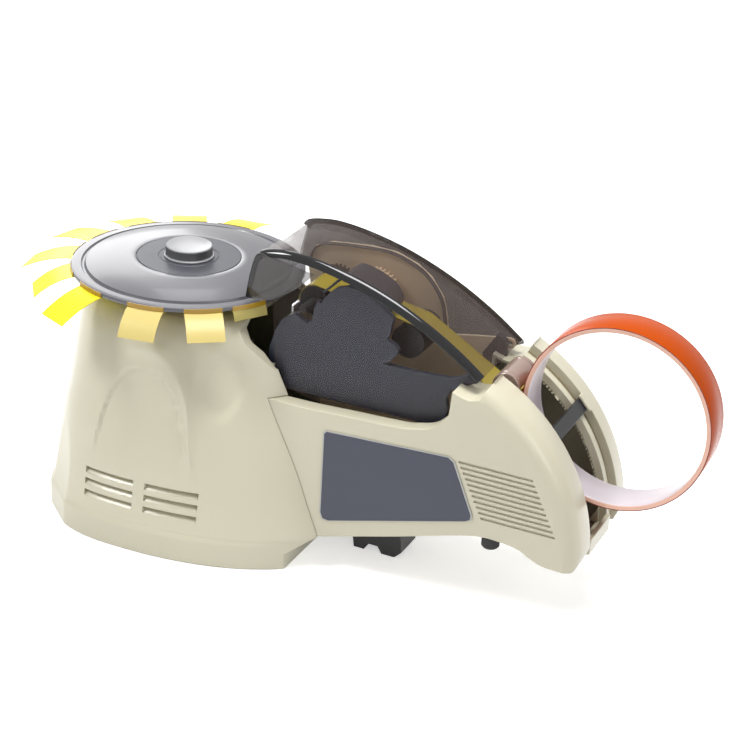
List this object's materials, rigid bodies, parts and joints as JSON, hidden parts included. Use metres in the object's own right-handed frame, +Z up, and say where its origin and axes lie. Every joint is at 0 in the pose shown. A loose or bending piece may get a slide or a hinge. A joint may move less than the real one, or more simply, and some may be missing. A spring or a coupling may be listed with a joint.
{
  "type": "electric tape dispenser",
  "caption": "Desk tape dispenser: a louvred tower turns a carousel disc ringed with cut tape strips, fed from a tape ring held in the slotted end of a side arm under a smoked hood.",
  "frame": {"origin": "on the ground under the carousel's turning axis, in the middle of the base plate's underside", "axes": "+X along the arm towards the tape ring, +Y towards the control panel at the back, +Z up"},
  "size_m": [0.5, 0.2267, 0.216],
  "materials": {
    "ivory_plastic": "satin moulded",
    "dark_plastic": "satin",
    "grey_plastic": "satin",
    "label_grey": "satin",
    "smoked_plastic": "smoked translucent",
    "rubber": "matte",
    "steel": "brushed",
    "tan_plate": "satin",
    "yellow_tape": "glossy film",
    "amber_tape": "glossy film",
    "plate_blue": "satin",
    "roller_beige": "glossy",
    "gear_white": "satin",
    "board_green": "satin"
  },
  "bodies": {
    "housing": {"tower_housing": "ivory_plastic", "base_plate": "dark_plastic", "rubber_foot_1": "rubber", "rubber_foot_2": "rubber", "rubber_foot_3": "rubber", "rubber_foot_4": "rubber", "circuit_board": "board_green", "carousel_frame": "steel", "carousel_motor": "steel", "carousel_bearing": "dark_plastic", "control_panel": "dark_plastic", "power_inlet": "dark_plastic", "arm_near_shell": "ivory_plastic", "arm_far_shell": "ivory_plastic", "arm_floor": "ivory_plastic", "slot_plate_near": "smoked_plastic", "slot_plate_far": "smoked_plastic", "name_plate": "plate_blue", "arm_bumper_near": "rubber", "arm_bumper_far": "rubber", "support_foot": "dark_plastic", "feeder_far_plate": "tan_plate", "feeder_near_plate": "dark_plastic", "feed_motor": "steel", "cutter_anvil": "steel", "feed_tape": "yellow_tape"},
    "carousel": {"carousel_disc": "grey_plastic", "carousel_label_disc": "label_grey", "carousel_knob": "grey_plastic", "carousel_shaft": "steel", "carousel_gear": "gear_white", "tape_strip_01": "yellow_tape", "tape_strip_02": "yellow_tape", "tape_strip_03": "yellow_tape", "tape_strip_04": "yellow_tape", "tape_strip_05": "yellow_tape", "tape_strip_06": "yellow_tape", "tape_strip_07": "yellow_tape", "tape_strip_08": "yellow_tape", "tape_strip_09": "yellow_tape", "tape_strip_10": "yellow_tape"},
    "carousel_drive_pinion": {"carousel_pinion": "gear_white"},
    "hood_cover": {"hood": "smoked_plastic"},
    "feed_roll": {"feed_roller": "rubber"},
    "drive_wheel": {"drive_gear": "dark_plastic"},
    "feed_drive_pinion": {"feed_pinion": "gear_white"},
    "idler_roll": {"idler_roller": "dark_plastic"},
    "guide_roll": {"guide_roller": "roller_beige"},
    "support_roll": {"support_roller": "dark_plastic"},
    "ring": {"tape_ring": "amber_tape"},
    "bar": {"slide_bar": "dark_plastic", "bar_clip": "ivory_plastic"},
    "cutter": {"cutter_blade": "steel"},
    "switch": {"power_switch": "dark_plastic"},
    "dial": {"length_dial": "dark_plastic"},
    "button": {"feed_button": "grey_plastic"}
  },
  "joints": [
    {"name": "carousel_turn", "type": "hinge", "parent": "housing", "child": "carousel", "pos_m": [0, 0, 0.1764], "axis": [0, 0, 1], "continuous": true, "deforming": ["tape_strip_01", "tape_strip_02", "tape_strip_03", "tape_strip_04", "tape_strip_05", "tape_strip_06", "tape_strip_07", "tape_strip_08", "tape_strip_09", "tape_strip_10"]},
    {"name": "carousel_pinion_turn", "type": "hinge", "parent": "housing", "child": "carousel_drive_pinion", "pos_m": [-0.024, 0, 0.1213], "axis": [0, 0, 1], "continuous": true},
    {"name": "hood_open", "type": "hinge", "parent": "housing", "child": "hood_cover", "pos_m": [0.226, 0, 0.158], "axis": [0, 1, 0], "range_deg": [0, 70]},
    {"name": "feed_roller_turn", "type": "hinge", "parent": "housing", "child": "feed_roll", "pos_m": [0.103, 0, 0.177], "axis": [0, 1, 0], "continuous": true},
    {"name": "drive_gear_turn", "type": "hinge", "parent": "housing", "child": "drive_wheel", "pos_m": [0.131, 0, 0.177], "axis": [0, 1, 0], "continuous": true},
    {"name": "feed_pinion_turn", "type": "hinge", "parent": "housing", "child": "feed_drive_pinion", "pos_m": [0.131, 0, 0.151], "axis": [0, 1, 0], "continuous": true},
    {"name": "idler_roller_turn", "type": "hinge", "parent": "housing", "child": "idler_roll", "pos_m": [0.172, 0, 0.164], "axis": [0, 1, 0], "continuous": true},
    {"name": "guide_roller_turn", "type": "hinge", "parent": "housing", "child": "guide_roll", "pos_m": [0.2414, 0, 0.149], "axis": [0, 1, 0], "continuous": true},
    {"name": "support_roller_turn", "type": "hinge", "parent": "housing", "child": "support_roll", "pos_m": [0.25729, 0, 0.10106], "axis": [0, 1, 0], "continuous": true},
    {"name": "tape_ring_turn", "type": "hinge", "parent": "housing", "child": "ring", "pos_m": [0.3153, -0.0015, 0.1432], "axis": [0, 1, 0], "continuous": true},
    {"name": "slide_bar_swing", "type": "hinge", "parent": "housing", "child": "bar", "pos_m": [0.185, 0, 0.046], "axis": [0, 1, 0], "range_deg": [-8, 16]},
    {"name": "cutter_slide", "type": "slide", "parent": "housing", "child": "cutter", "axis": [0, 0, 1], "range_m": [0, 0.01]},
    {"name": "power_switch_rock", "type": "hinge", "parent": "housing", "child": "switch", "pos_m": [-0.02, 0.0893, 0.04], "axis": [1, 0, 0], "range_deg": [0, 18]},
    {"name": "length_dial_turn", "type": "hinge", "parent": "housing", "child": "dial", "pos_m": [0, 0.093, 0.04], "axis": [0, 1, 0], "range_deg": [-135, 135]},
    {"name": "feed_button_press", "type": "slide", "parent": "housing", "child": "button", "axis": [0, -1, 0], "range_m": [0, 0.002], "stiffness_N_per_m": 200}
  ],
  "couplings": [
    {"joint": "carousel_pinion_turn", "follows": "carousel_turn", "ratio": -3},
    {"joint": "drive_gear_turn", "follows": "feed_roller_turn", "ratio": -0.75},
    {"joint": "feed_pinion_turn", "follows": "feed_roller_turn", "ratio": 1.2}
  ]
}
